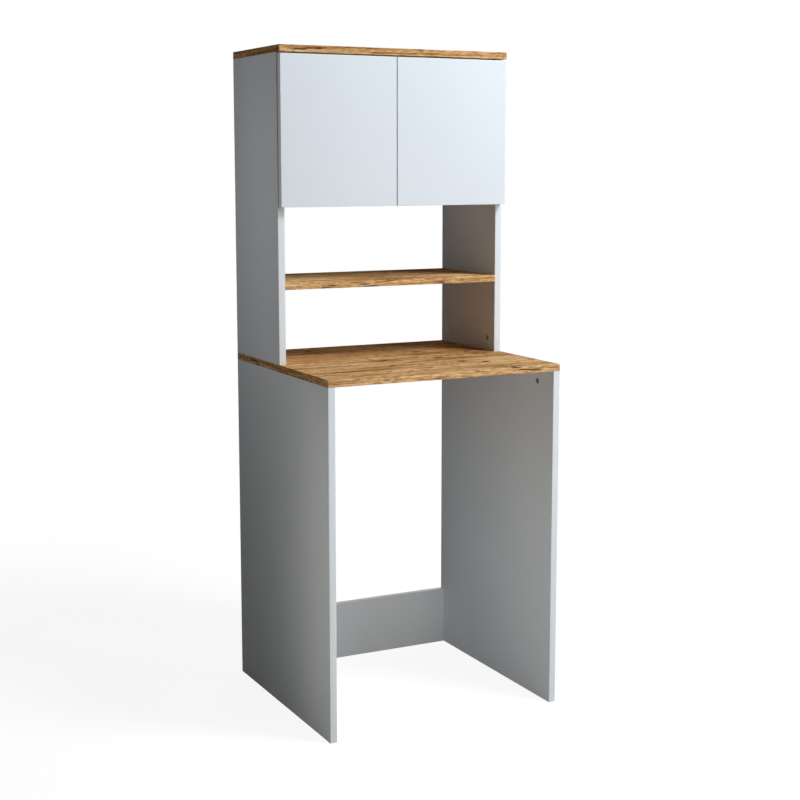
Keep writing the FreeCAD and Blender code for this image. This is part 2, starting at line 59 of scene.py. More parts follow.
Socket = bpy.types.NodeSocket
Sockets = bpy.types.NodeOutputs
Value = Socket | float | tuple
MILLIMETRE = 0.001
QUARTER_TURN = math.radians(90.0)
SMOOTH_ANGLE = math.radians(30.0)
MOSTLY = 0.5  # a direction runs mostly along an axis where it has more than this of it
CARCASS = "carcass"


class Axis(Enum):
    """Direction in the cabinet, as a unit vector."""

    X = (1.0, 0.0, 0.0)
    Y = (0.0, 1.0, 0.0)
    Z = (0.0, 0.0, 1.0)

    @property
    def vector(self) -> Vector:
        """The direction as a vector to reckon with."""
        return Vector(self.value)


class Side(Enum):
    """Left or right half of the cabinet, with the sign of X there."""

    LEFT = -1
    RIGHT = 1

    @property
    def word(self) -> str:
        """Ending of the names of this side's pieces."""
        return self.name.lower()


class CamFace(Enum):
    """Which way a joint's cams face."""

    INWARDS = "inwards"
    DOWN = "down"
    BACK = "back"


class Lay(Enum):
    """How one colour lies on another, with Blender's name for it."""

    COVER = "MIX"
    STAIN = "MULTIPLY"


class Join(Enum):
    """How one shape changes another, with Blender's name for it."""

    UNITE = "UNION"
    CUT = "DIFFERENCE"


class Mixed(Enum):
    """What a Mix node mixes: Blender's name for it, and the numbers of its two inputs and its output."""

    NUMBER = ("FLOAT", 2, 3, 0)
    VECTOR = ("VECTOR", 4, 5, 1)
    COLOUR = ("RGBA", 6, 7, 2)


class Kind(Enum):
    """Kind of a node group's socket, with Blender's name for it."""

    COLOUR = "NodeSocketColor"
    VECTOR = "NodeSocketVector"
    VALUE = "NodeSocketFloat"


@dataclass(frozen=True)
class Grain:
    """Noise pattern: repeats per metre along X, Y and Z, number of finer layers, and their share."""

    repeats: Triple
    layers: float = 2.0
    share: float = 0.5


@dataclass(frozen=True)
class Mark:
    """One kind of mark: strength, colour, how it lies, its pattern, and where it begins and is full."""

    strength: float
    colour: Colour
    lay: Lay = Lay.COVER
    pattern: Grain | None = None
    edge: Span = (0.0, 1.0)


class Graph:
    """Adds and wires the shader nodes of one material, world or node group."""

    def __init__(self, tree: bpy.types.NodeTree) -> None:
        """Take a tree and empty it.

        Args:
            tree: The node tree.
        """
        self.tree = tree
        tree.nodes.clear()

    def node(self, kind: str, inputs: dict | None = None, **settings: object) -> bpy.types.Node:
        """Add one node.

        Args:
            kind: Blender's type name of the node.
            inputs: Value or source socket for each named or numbered input.
            **settings: Properties of the node.

        Returns:
            The new node.
        """
        made = self.tree.nodes.new(kind)
        for name, value in settings.items():
            setattr(made, name, value)
        for key, value in (inputs or {}).items():
            self.feed(made.inputs[key], value)
        return made

    def feed(self, socket: Socket, value: Value) -> None:
        """Wire or set one input.

        Args:
            socket: Input socket.
            value: Source socket, number, vector or colour.
        """
        if isinstance(value, bpy.types.NodeSocket):
            self.tree.links.new(value, socket)
        elif isinstance(value, tuple) and len(socket.default_value) > len(value):
            socket.default_value = (*value, 1.0)
        else:
            socket.default_value = value

    def math(self, operation: str, first: Value, second: Value = 0.0) -> Socket:
        """Result of a sum on two numbers."""
        return self.node("ShaderNodeMath", {0: first, 1: second}, operation=operation).outputs[0]

    def vector(self, operation: str, first: Value, second: Value = (0.0, 0.0, 0.0)) -> Socket:
        """Vector result of a sum on two vectors."""
        return self.node("ShaderNodeVectorMath", {0: first, 1: second}, operation=operation).outputs[0]

    def parts(self, vector: Value) -> Sockets:
        """X, Y and Z of a vector."""
        return self.node("ShaderNodeSeparateXYZ", {0: vector}).outputs

    def along_y(self, value: Value) -> Socket:
        """Vector with a value along Y alone."""
        return self.node("ShaderNodeCombineXYZ", {1: value}).outputs[0]

    def ease(self, value: Value, low: float, high: float) -> Socket:
        """Smooth step of a value: 0 at low, 1 at high, and the other way round where low is above high."""
        inputs = {"Value": value, "From Min": low, "From Max": high}
        return self.node("ShaderNodeMapRange", inputs, interpolation_type="SMOOTHSTEP").outputs[0]

    def span(self, value: Value, low: float, high: float) -> Socket:
        """A value from 0 to 1 spread between two limits."""
        return self.node("ShaderNodeMapRange", {"Value": value, "To Min": low, "To Max": high}).outputs[0]

    def mix(self, kind: Mixed, factor: Value, first: Value, second: Value, lay: Lay = Lay.COVER) -> Socket:
        """Mix of two numbers, vectors or colours.

        Args:
            kind: What is mixed.
            factor: Share of the second.
            first: The first.
            second: The second.
            lay: How a second colour lies on the first.

        Returns:
            The mix.
        """
        data_type, first_input, second_input, output = kind.value
        inputs = {0: factor, first_input: first, second_input: second}
        return self.node("ShaderNodeMix", inputs, data_type=data_type, blend_type=lay.value).outputs[output]

    def blend(self, factor: Value, first: Value, second: Value, lay: Lay = Lay.COVER) -> Socket:
        """Second colour laid on the first."""
        return self.mix(Mixed.COLOUR, factor, first, second, lay)

    def noise(self, place: Value, grain: Grain) -> Socket:
        """Noise from 0 to 1.

        Args:
            place: Place on the surface in metres.
            grain: The pattern.

        Returns:
            The noise value.
        """
        inputs = {
            "Vector": self.vector("MULTIPLY", place, grain.repeats), "Scale": 1.0,
            "Detail": grain.layers, "Roughness": grain.share}
        return self.node("ShaderNodeTexNoise", inputs).outputs["Fac"]

    def cells(self, place: Value) -> tuple[Socket, Socket]:
        """Distance from the middle of a cell, about one cell to a unit, and the cell's number up to 1."""
        made = self.node("ShaderNodeTexVoronoi", {"Vector": place, "Scale": 1.0}, feature="F1").outputs
        return made["Distance"], self.node("ShaderNodeSeparateColor", {0: made["Color"]}).outputs[0]

    def mask(self, place: Value, mark: Mark) -> Socket:
        """Where a mark lies, from 0 to 1."""
        return self.ease(self.noise(place, mark.pattern), *mark.edge)

    def marked(self, colour: Value, mark: Mark, mask: Socket) -> Socket:
        """A colour with a mark laid on it."""
        return self.blend(self.math("MULTIPLY", mask, mark.strength), colour, mark.colour, mark.lay)

    def ramp(self, value: Value, stops: Stops) -> Socket:
        """Colour ramp.

        Args:
            value: Place on the ramp.
            stops: Position and colour of each stop.

        Returns:
            The colour.
        """
        made = self.node("ShaderNodeValToRGB", {"Fac": value})
        elements = made.color_ramp.elements
        for index, (position, colour) in enumerate(stops):
            stop = elements[index] if index < len(elements) else elements.new(position)
            stop.position = position
            stop.color = (*colour, 1.0)
        return made.outputs["Color"]

    def group(self, tree: bpy.types.NodeTree, inputs: dict[str, Value]) -> Sockets:
        """Place a shared effect and give its outputs."""
        return self.node("ShaderNodeGroup", inputs, node_tree=tree).outputs


@dataclass
class Surface:
    """What a finish says about each point of a surface."""

    colour: Socket
    roughness: Socket
    height: Socket

    @classmethod
    def of(cls, effect: Sockets) -> "Surface":
        """The surface that a shared effect puts out."""
        return cls(effect["Colour"], effect["Roughness"], effect["Height"])


class SharedEffect:
    """An effect for several materials: a shader node group with named inputs and outputs."""

    name: str
    inputs: dict[str, Kind] = {"Place": Kind.VECTOR}
    outputs: dict[str, Kind] = {"Colour": Kind.COLOUR, "Roughness": Kind.VALUE, "Height": Kind.VALUE}

    def wire(self, graph: Graph, given: Sockets) -> dict[str, Socket]:
        """Wire the effect.

        Args:
            graph: The group's graph.
            given: The group's inputs.

        Returns:
            Source of each output.
        """
        raise NotImplementedError

    def build(self) -> bpy.types.NodeTree:
        """Build the group.

        Returns:
            The finished group.
        """
        tree = bpy.data.node_groups.new(self.name, "ShaderNodeTree")
        graph = Graph(tree)
        for in_out, sockets in (("INPUT", self.inputs), ("OUTPUT", self.outputs)):
            for name, kind in sockets.items():
                tree.interface.new_socket(name, in_out=in_out, socket_type=kind.value)
        graph.node("NodeGroupOutput", self.wire(graph, graph.node("NodeGroupInput").outputs))
        return tree


@dataclass(frozen=True)
class EdgeRub(SharedEffect):
    """Mask of the worn line along the edges of a box-shaped board."""

    name = "edge_rub"
    inputs = {"Place": Kind.VECTOR, "Low": Kind.VECTOR, "High": Kind.VECTOR, "Width": Kind.VALUE}
    outputs = {"Mask": Kind.VALUE}
    line_edge: Span = (1.0, 0.2)
    patches: Grain = Grain((38.0, 38.0, 38.0), 4.0, 0.6)
    patch_edge: Span = (0.38, 0.66)

    def wire(self, graph: Graph, given: Sockets) -> dict[str, Socket]:
        """Find the line from the two smaller distances to the board's faces.

        Args:
            graph: The group's graph.
            given: Place, the board's corners, and the line's width.

        Returns:
            Source of the mask.
        """
        from_low = graph.vector("SUBTRACT", given["Place"], given["Low"])
        from_high = graph.vector("SUBTRACT", given["High"], given["Place"])
        x, y, z = graph.parts(graph.vector("ABSOLUTE", graph.vector("MINIMUM", from_low, from_high)))
        smallest = graph.math("MINIMUM", graph.math("MINIMUM", x, y), z)
        largest = graph.math("MAXIMUM", graph.math("MAXIMUM", x, y), z)
        total = graph.math("ADD", graph.math("ADD", x, y), z)
        to_edge = graph.math("SUBTRACT", graph.math("SUBTRACT", total, smallest), largest)
        line = graph.ease(graph.math("DIVIDE", to_edge, given["Width"]), *self.line_edge)
        patches = graph.ease(graph.noise(given["Place"], self.patches), *self.patch_edge)
        return {"Mask": graph.math("MULTIPLY", line, patches)}


class RawEdge(SharedEffect):
    """Mask of the faces where a board's core shows: all that don't face along its thickness."""

    name = "raw_edge"
    inputs = {"Facing": Kind.VECTOR, "Thickness": Kind.VECTOR}
    outputs = {"Mask": Kind.VALUE}

    def wire(self, graph: Graph, given: Sockets) -> dict[str, Socket]:
        """Compare two directions.

        Args:
            graph: The group's graph.
            given: Direction of the surface and of the board's thickness.

        Returns:
            Source of the mask.
        """
        both = {0: given["Facing"], 1: given["Thickness"]}
        along = graph.node("ShaderNodeVectorMath", both, operation="DOT_PRODUCT").outputs["Value"]
        return {"Mask": graph.math("LESS_THAN", graph.math("ABSOLUTE", along), MOSTLY)}


@dataclass(frozen=True)
class ChipboardCore(SharedEffect):
    """Pressed wood flakes of a board's core."""

    name = "chipboard_core"
    flakes: Triple = (260.0, 260.0, 480.0)
    wander: Grain = Grain((160.0, 160.0, 160.0))
    flake_colours: Stops = (
        (0.0, (0.36, 0.24, 0.13)), (0.35, (0.49, 0.36, 0.215)),
        (0.75, (0.6, 0.46, 0.3)), (1.0, (0.7, 0.58, 0.41)))
    pits: Mark = Mark(1.0, (0.24, 0.15, 0.08), pattern=Grain((520.0, 520.0, 520.0)), edge=(0.56, 0.7))
    roughness: Span = (0.78, 0.92)

    def wire(self, graph: Graph, given: Sockets) -> dict[str, Socket]:
        """Lay flakes of several browns with pits between them.

        Args:
            graph: The group's graph.
            given: Place on the board.

        Returns:
            Source of each output.
        """
        place = given["Place"]
        flakes = graph.vector("MULTIPLY", place, self.flakes)
        _, shade = graph.cells(graph.vector("ADD", flakes, graph.noise(place, self.wander)))
        pits = graph.mask(place, self.pits)
        return {
            "Colour": graph.marked(graph.ramp(shade, self.flake_colours), self.pits, pits),
            "Roughness": graph.span(shade, *self.roughness),
            "Height": graph.math("SUBTRACT", shade, pits)}


@dataclass(frozen=True)
class MelamineFilm(SharedEffect):
    """Printed white film with a fine pearl, faint clouds and hand marks."""

    name = "melamine_film"
    inputs = {"Place": Kind.VECTOR, "Tint": Kind.COLOUR}
    clouds: Grain = Grain((3.5, 3.5, 3.5), 3.0)
    cloud_shade: Span = (0.955, 1.01)
    pearl: Grain = Grain((900.0, 900.0, 900.0))
    pearl_shade: Span = (-0.014, 0.014)
    pearl_roughness: Span = (-0.04, 0.04)
    hand_marks: Grain = Grain((9.0, 9.0, 14.0), 5.0, 0.62)
    hand_roughness: Span = (0.46, 0.66)

    def wire(self, graph: Graph, given: Sockets) -> dict[str, Socket]:
        """Vary the tint and the gloss.

        Args:
            graph: The group's graph.
            given: Place on the board, and the film's tint.

        Returns:
            Source of each output.
        """
        pearl, clouds, hand_marks = (
            graph.noise(given["Place"], grain) for grain in (self.pearl, self.clouds, self.hand_marks))
        shade = graph.math(
            "ADD", graph.span(clouds, *self.cloud_shade), graph.span(pearl, *self.pearl_shade))
        shaded = graph.node("ShaderNodeVectorMath", {0: given["Tint"], "Scale": shade}, operation="SCALE")
        roughness = graph.math(
            "ADD", graph.span(hand_marks, *self.hand_roughness), graph.span(pearl, *self.pearl_roughness))
        return {"Colour": shaded.outputs[0], "Roughness": roughness, "Height": pearl}


@dataclass(frozen=True)
class OakPrint(SharedEffect):
    """Rustic oak print with X along the grain: streaks, growth lines, pores, cracks and ragged knots."""

    name = "oak_figure"
    sway: Grain = Grain((1.7, 6.0, 6.0))
    sway_reach: Span = (-0.025, 0.025)
    knot_cells: Triple = (6.5, 9.5, 9.5)
    cells_without_knot: float = 0.66
    outline: Grain = Grain((70.0, 120.0, 120.0))
    outline_reach: Span = (-0.07, 0.07)
    knots: Mark = Mark(0.9, (0.06, 0.028, 0.012), edge=(0.12, 0.05))
    halos: Mark = Mark(0.4, (0.5, 0.34, 0.2), Lay.STAIN, edge=(0.5, 0.1))
    streaks: Grain = Grain((3.2, 30.0, 150.0), 6.0, 0.64)
    streak_colours: Stops = (
        (0.33, (0.36, 0.175, 0.06)), (0.42, (0.6, 0.335, 0.132)), (0.5, (0.83, 0.53, 0.25)),
        (0.58, (0.9, 0.62, 0.33)), (0.67, (0.93, 0.72, 0.46)))
    tone: Mark = Mark(1.0, (0.8, 0.73, 0.66), Lay.STAIN, Grain((1.1, 6.0, 25.0)), (0.35, 0.7))
    ring_repeats: Triple = (0.55, 9.0, 9.0)
    ring_scale: float = 2.6
    ring_distortion: float = 5.0
    ring_layers: float = 3.0
    ring_layer_scale: float = 1.4
    ring_bend: float = 0.3
    rings: Mark = Mark(0.3, (0.62, 0.47, 0.33), Lay.STAIN)
    fibres: Mark = Mark(1.0, (0.62, 0.5, 0.4), Lay.STAIN, Grain((50.0, 240.0, 300.0), 3.0), (0.44, 0.68))
    fibre_height: float = 0.35
    pores: Mark = Mark(0.6, (0.15, 0.07, 0.026), Lay.COVER, Grain((32.0, 380.0, 620.0), 1.0), (0.58, 0.7))
    dashes: Mark = Mark(0.55, (0.15, 0.07, 0.026), Lay.COVER, Grain((22.0, 100.0, 280.0)), (0.6, 0.68))
    cracks: Mark = Mark(0.9, (0.055, 0.026, 0.011), Lay.COVER, Grain((15.0, 60.0, 170.0)), (0.61, 0.65))
    cracked_areas: Grain = Grain((2.6, 11.0, 30.0))
    cracked_edge: Span = (0.42, 0.55)
    roughness: Span = (0.52, 0.64)
    dent_roughness: float = 0.16

    def wire(self, graph: Graph, given: Sockets) -> dict[str, Socket]:
        """Lay the print from the ground colour up, and dent it at its pores, cracks and knots.

        Args:
            graph: The group's graph.
            given: Place on the print.

        Returns:
            Source of each output.
        """
        place = given["Place"]
        sway = graph.span(graph.noise(place, self.sway), *self.sway_reach)
        flowing = graph.vector("ADD", place, graph.along_y(sway))
        distance, number = graph.cells(graph.vector("MULTIPLY", flowing, self.knot_cells))
        kept = graph.math("GREATER_THAN", number, self.cells_without_knot)
        ragged = graph.span(graph.noise(flowing, self.outline), *self.outline_reach)
        knots = graph.ease(graph.math("ADD", distance, ragged), *self.knots.edge)
        knots = graph.math("MULTIPLY", kept, knots)
        halos = graph.math("MULTIPLY", kept, graph.ease(distance, *self.halos.edge))
        bend = graph.along_y(graph.math("MULTIPLY", halos, self.ring_bend))
        rings = graph.node("ShaderNodeTexWave", {
            "Vector": graph.vector("ADD", graph.vector("MULTIPLY", flowing, self.ring_repeats), bend),
            "Scale": self.ring_scale, "Distortion": self.ring_distortion,
            "Detail": self.ring_layers, "Detail Scale": self.ring_layer_scale,
        }, wave_type="BANDS", bands_direction="Y", wave_profile="SAW").outputs["Fac"]
        fibre = graph.noise(flowing, self.fibres.pattern)
        pores = graph.mask(flowing, self.pores)
        gathered = graph.ease(graph.noise(place, self.cracked_areas), *self.cracked_edge)
        cracks = graph.math("MULTIPLY", graph.mask(flowing, self.cracks), gathered)
        streaks = graph.noise(flowing, self.streaks)
        colour = graph.ramp(streaks, self.streak_colours)
        for mark, mask in (
                (self.tone, graph.mask(place, self.tone)), (self.rings, rings),
                (self.fibres, graph.ease(fibre, *self.fibres.edge)), (self.pores, pores),
                (self.dashes, graph.mask(flowing, self.dashes)), (self.cracks, cracks),
                (self.halos, halos), (self.knots, knots)):
            colour = graph.marked(colour, mark, mask)
        dents = graph.math("MAXIMUM", graph.math("MAXIMUM", pores, cracks), knots)
        dull = graph.math("MULTIPLY", dents, self.dent_roughness)
        return {
            "Colour": colour,
            "Roughness": graph.math("ADD", graph.span(streaks, *self.roughness), dull),
            "Height": graph.math("SUBTRACT", graph.math("MULTIPLY", fibre, self.fibre_height), dents)}


@dataclass(frozen=True)
class Plating(SharedEffect):
    """Cloudy, finely scratched metal plating."""

    name = "plating"
    inputs = {"Place": Kind.VECTOR, "Bright": Kind.COLOUR, "Dull": Kind.COLOUR, "Gloss": Kind.VALUE}
    clouds: Grain = Grain((140.0, 140.0, 140.0), 4.0, 0.6)
    cloud_edge: Span = (0.3, 0.72)
    cloud_roughness: Span = (-0.08, 0.14)
    scratches: Grain = Grain((300.0, 2400.0, 900.0))

    def wire(self, graph: Graph, given: Sockets) -> dict[str, Socket]:
        """Vary the metal between bright and dull.

        Args:
            graph: The group's graph.
            given: Place on the piece, both colours, and the roughness.

        Returns:
            Source of each output.
        """
        clouds = graph.noise(given["Place"], self.clouds)
        return {
            "Colour": graph.blend(graph.ease(clouds, *self.cloud_edge), given["Bright"], given["Dull"]),
            "Roughness": graph.math("ADD", given["Gloss"], graph.span(clouds, *self.cloud_roughness)),
            "Height": graph.noise(given["Place"], self.scratches)}


class Effects:
    """The shared effects, each built once."""

    def __init__(self) -> None:
        """Build every group."""
        self.edge_rub = EdgeRub().build()
        self.raw_edge = RawEdge().build()
        self.chipboard = ChipboardCore().build()
        self.melamine = MelamineFilm().build()
        self.oak = OakPrint().build()
        self.plating = Plating().build()


@dataclass(frozen=True)
class Spot:
    """Any point of a piece, as its material sees it: its graph, the effects, place and direction."""

    graph: Graph
    effects: Effects
    place: Socket
    facing: Socket


@dataclass(frozen=True)
class Finish:
    """What all finishes share: the slot that names its material, the bump's strength and depth, and the
    reflectance.
    """

    slot: str
    bump: float = 0.12
    relief: float = 0.0002
    specular: float = 0.5

    def surface(self, spot: Spot) -> Surface:
        """Colour, roughness and height of each point.

        Args:
            spot: The point.

        Returns:
            The surface's values.
        """
        raise NotImplementedError

    def constants(self) -> dict[str, float]:
        """Plain numbers for the shader's own sockets."""
        return {"Specular IOR Level": self.specular}

    def material(
            self, name: str, effects: Effects, wear: Callable[[Spot, Surface], Surface] | None = None,
    ) -> bpy.types.Material:
        """Make the finish's material.

        Args:
            name: Name of the material.
            effects: Shared effects.
            wear: Change to the surface that depends on the piece, such as worn edges.

        Returns:
            The material.
        """
        material = bpy.data.materials.new(name)
        material.use_nodes = True
        graph = Graph(material.node_tree)
        coordinates = graph.node("ShaderNodeTexCoord").outputs
        spot = Spot(graph, effects, coordinates["Object"], coordinates["Normal"])
        surface = self.surface(spot)
        if wear:
            surface = wear(spot, surface)
        bump = graph.node("ShaderNodeBump", {
            "Height": surface.height, "Strength": self.bump, "Distance": self.relief})
        shader = graph.node("ShaderNodeBsdfPrincipled", {
            "Base Color": surface.colour, "Roughness": surface.roughness,
            "Normal": bump.outputs[0], **self.constants()})
        graph.node("ShaderNodeOutputMaterial", {"Surface": shader.outputs[0]})
        return material


@dataclass(frozen=True)
class WhiteMelamine(Finish):
    """White melamine film of boards, or the harder plastic of their edge bands."""

    tint: Colour = (0.772, 0.815, 0.858)

    def surface(self, spot: Spot) -> Surface:
        """White film on every face."""
        return Surface.of(spot.graph.group(spot.effects.melamine, {"Place": spot.place, "Tint": self.tint}))


@dataclass(frozen=True)
class OakLaminate(Finish):
    """Oak print along the board, and along its end bands, cut from its own part of the print."""

    offset: Triple = (0.0, 0.0, 0.0)

    def surface(self, spot: Spot) -> Surface:
        """Oak print on every face, turned on the faces that look sideways.

        Args:
            spot: The point.

        Returns:
            The surface's values.
        """
        graph = spot.graph
        shifted = {"Vector": spot.place, "Location": self.offset}
        lengthwise = graph.node("ShaderNodeMapping", shifted).outputs[0]
        turned = {"Vector": lengthwise, "Rotation": (0.0, 0.0, QUARTER_TURN)}
        crosswise = graph.node("ShaderNodeMapping", turned).outputs[0]
        sideways = graph.math("ABSOLUTE", graph.parts(spot.facing)[0])
        on_end = graph.math("GREATER_THAN", sideways, MOSTLY)
        along = graph.mix(Mixed.VECTOR, on_end, lengthwise, crosswise)
        return Surface.of(graph.group(spot.effects.oak, {"Place": along}))


@dataclass(frozen=True)
class Hardboard(Finish):
    """Thin pressed board, white lacquered in front, brown with a mesh print behind."""

    lacquer: Colour = (0.78, 0.79, 0.8)
    mesh_pitch: float = 0.0016
    fibres: Grain = Grain((260.0, 260.0, 260.0), 5.0, 0.65)
    browns: Stops = ((0.3, (0.15, 0.09, 0.05)), (0.55, (0.275, 0.175, 0.102)), (0.75, (0.38, 0.26, 0.165)))
    roughness: Span = (0.72, 0.9)

    def surface(self, spot: Spot) -> Surface:
        """Lacquer where the sheet faces forward, fibre elsewhere.

        Args:
            spot: The point.

        Returns:
            The surface's values.
        """
        graph = spot.graph
        film = Surface.of(graph.group(spot.effects.melamine, {"Place": spot.place, "Tint": self.lacquer}))
        fibres = graph.noise(spot.place, self.fibres)
        x, _, z = graph.parts(spot.place)
        turns = math.tau / self.mesh_pitch
        waves = [graph.math("SINE", graph.math("MULTIPLY", way, turns)) for way in (x, z)]
        mesh = graph.math("MULTIPLY", *waves)
        front = graph.math("LESS_THAN", graph.parts(spot.facing)[1], -MOSTLY)
        return Surface(
            graph.blend(front, graph.ramp(fibres, self.browns), film.colour),
            graph.mix(Mixed.NUMBER, front, graph.span(fibres, *self.roughness), film.roughness),
            graph.mix(Mixed.NUMBER, front, graph.math("ADD", mesh, fibres), film.height))


@dataclass(frozen=True)
class PlatedMetal(Finish):
    """Plated or cast metal."""

    bright: Colour = (0.72, 0.72, 0.73)
    dull: Colour = (0.5, 0.5, 0.52)
    gloss: float = 0.28

    def surface(self, spot: Spot) -> Surface:
        """Cloudy plating all over."""
        metal = {"Place": spot.place, "Bright": self.bright, "Dull": self.dull, "Gloss": self.gloss}
        return Surface.of(spot.graph.group(spot.effects.plating, metal))

    def constants(self) -> dict[str, float]:
        """Metal all over."""
        return {"Metallic": 1.0}


@dataclass(frozen=True)
class Beech(Finish):
    """Pale turned wood with short dark flecks."""

    bands: Grain = Grain((60.0, 60.0, 60.0), 3.0)
    band_colours: Stops = ((0.3, (0.5, 0.33, 0.19)), (0.7, (0.66, 0.49, 0.32)))
    flecks: Mark = Mark(0.6, (0.3, 0.17, 0.09), Lay.COVER, Grain((700.0, 700.0, 700.0), 1.0), (0.6, 0.7))
    roughness: Span = (0.6, 0.75)

    def surface(self, spot: Spot) -> Surface:
        """Beech on every face.

        Args:
            spot: The point.

        Returns:
            The surface's values.
        """
        graph = spot.graph
        bands = graph.noise(spot.place, self.bands)
        flecks = graph.mask(spot.place, self.flecks)
        colour = graph.marked(graph.ramp(bands, self.band_colours), self.flecks, flecks)
        return Surface(colour, graph.span(bands, *self.roughness), flecks)


@dataclass(frozen=True)
class ClearRubber(Finish):
    """Soft see-through plastic of the door pads."""

    tint: Colour = (0.86, 0.88, 0.88)
    cloudy_tint: Colour = (0.74, 0.77, 0.77)
    clouds: Grain = Grain((500.0, 500.0, 500.0))
    roughness: Span = (0.12, 0.3)
    clearness: float = 0.85
    refraction: float = 1.42

    def surface(self, spot: Spot) -> Surface:
        """Slightly cloudy plastic.

        Args:
            spot: The point.

        Returns:
            The surface's values.
        """
        clouds = spot.graph.noise(spot.place, self.clouds)
        colour = spot.graph.blend(clouds, self.tint, self.cloudy_tint)
        return Surface(colour, spot.graph.span(clouds, *self.roughness), clouds)

    def constants(self) -> dict[str, float]:
        """Light passes through."""
        return {"Transmission Weight": self.clearness, "IOR": self.refraction}


@dataclass(frozen=True)
class BoardWear:
    """Raw core on a board's open edges and a worn line along its corners."""

    low: Vector
    high: Vector
    rub_colour: Colour
    rub_width: float = 0.0022
    rub_depth: float = 0.35
    rub_roughness: float = 0.12

    def __call__(self, spot: Spot, surface: Surface) -> Surface:
        """Lay the core and the rubbed edges over a finish.

        Args:
            spot: Point of the board.
            surface: The finish there.

        Returns:
            The worn surface.
        """
        graph, effects = spot.graph, spot.effects
        extent = self.high - self.low
        thickness = list(Axis)[min(range(3), key=lambda index: extent[index])].value
        core = Surface.of(graph.group(effects.chipboard, {"Place": spot.place}))
        raw = graph.group(effects.raw_edge, {"Facing": spot.facing, "Thickness": thickness})["Mask"]
        rub = graph.group(effects.edge_rub, {
            "Place": spot.place, "Width": self.rub_width,
            "Low": tuple(self.low), "High": tuple(self.high)})["Mask"]
        rubbed = graph.blend(graph.math("MULTIPLY", rub, self.rub_depth), surface.colour, self.rub_colour)
        dull = graph.math("ADD", surface.roughness, graph.math("MULTIPLY", rub, self.rub_roughness))
        return Surface(
            graph.blend(raw, rubbed, core.colour),
            graph.mix(Mixed.NUMBER, raw, dull, core.roughness),
            graph.mix(Mixed.NUMBER, raw, surface.height, core.height))


def deselect_all() -> None:
    """Leave nothing selected."""
    bpy.ops.object.select_all(action="DESELECT")


def take_up(*pieces: bpy.types.Object) -> None:
    """Select some pieces and no others, and make the first active.

    Args:
        *pieces: The pieces.
    """
    deselect_all()
    for piece in pieces:
        piece.select_set(True)
    bpy.context.view_layer.objects.active = pieces[0]


@contextmanager
def editing(piece: bpy.types.Object) -> Iterator[None]:
    """Edit mode on one piece.

    Args:
        piece: The mesh object.

    Yields:
        Nothing, while edit mode lasts.
    """
    take_up(piece)
    bpy.ops.object.mode_set(mode="EDIT")
    yield
    bpy.ops.object.mode_set(mode="OBJECT")


def select_faces(piece: bpy.types.Object, wanted: Callable[[bmesh.types.BMFace], bool]) -> None:
    """Select the faces of the edited piece that pass a test, and no others.

    Args:
        piece: The mesh object in edit mode.
        wanted: The test.
    """
    bpy.ops.mesh.select_all(action="DESELECT")
    mesh = bmesh.from_edit_mesh(piece.data)
    for face in mesh.faces:
        if wanted(face):
            face.select_set(True)
    bmesh.update_edit_mesh(piece.data)


def smooth(piece: bpy.types.Object) -> None:
    """Shade a piece smooth between its sharp edges."""
    take_up(piece)
    bpy.ops.object.shade_smooth_by_angle(angle=SMOOTH_ANGLE)


def join_shape(piece: bpy.types.Object, other: bpy.types.Object, join: Join) -> None:
    """Unite a piece with another shape or cut it by that shape, which is then gone.

    Args:
        piece: The piece that stays.
        other: The shape.
        join: Unite or cut.
    """
    take_up(piece)
    modifier = piece.modifiers.new("join", "BOOLEAN")
    modifier.object = other
    modifier.operation = join.value
    modifier.solver = "EXACT"
    bpy.ops.object.modifier_apply(modifier=modifier.name)
    bpy.data.objects.remove(other)


def placement(origin: Vector, along: Vector, across: Vector) -> Matrix:
    """Placement that stands a piece's own Z on one direction and its own X on another.

    Args:
        origin: Where the piece's own origin goes.
        along: Where its Z points.
        across: Where its X points.

    Returns:
        The placement.
    """
    turn = Matrix((across, along.cross(across), along)).transposed()
    return Matrix.Translation(origin) @ turn.to_4x4()


def copies_as_one(copies: Iterable[tuple[bpy.types.Object, Matrix]], name: str) -> bpy.types.Object:
    """Copy modelled pieces to their places and join the copies.

    Args:
        copies: Pattern, modelled round the origin, and placement of each copy.
        name: Name of the joined piece.

    Returns:
        The joined piece, with its place in its mesh.
    """
    made = []
    for pattern, place in copies:
        copy = pattern.copy()
        copy.data = pattern.data.copy()
        copy.data.transform(place)
        bpy.context.scene.collection.objects.link(copy)
        made.append(copy)
    take_up(*made)
    if len(made) > 1:
        bpy.ops.object.join()
    made[0].name = name
    made[0].data.name = name
    return made[0]


@dataclass(frozen=True)
class CrossRecess:
    """Cross for the screwdriver: length, width and depth of its arms in millimetres."""

    length: float
    width: float
    depth: float

    def cut(self, piece: bpy.types.Object, top: float) -> None:
        """Cut both arms of the cross.

        Args:
            piece: What is cut, standing round Z.
            top: Height of its top in metres.
        """
        for turn in (0.0, QUARTER_TURN):
            deselect_all()
            bpy.ops.mesh.primitive_cube_add(size=MILLIMETRE, location=(0, 0, top), rotation=(0, 0, turn))
            cutter = bpy.context.active_object
            cutter.scale = (self.length, self.width, 2 * self.depth)
            bpy.ops.object.transform_apply(location=True, rotation=True, scale=True)
            join_shape(piece, cutter, Join.CUT)


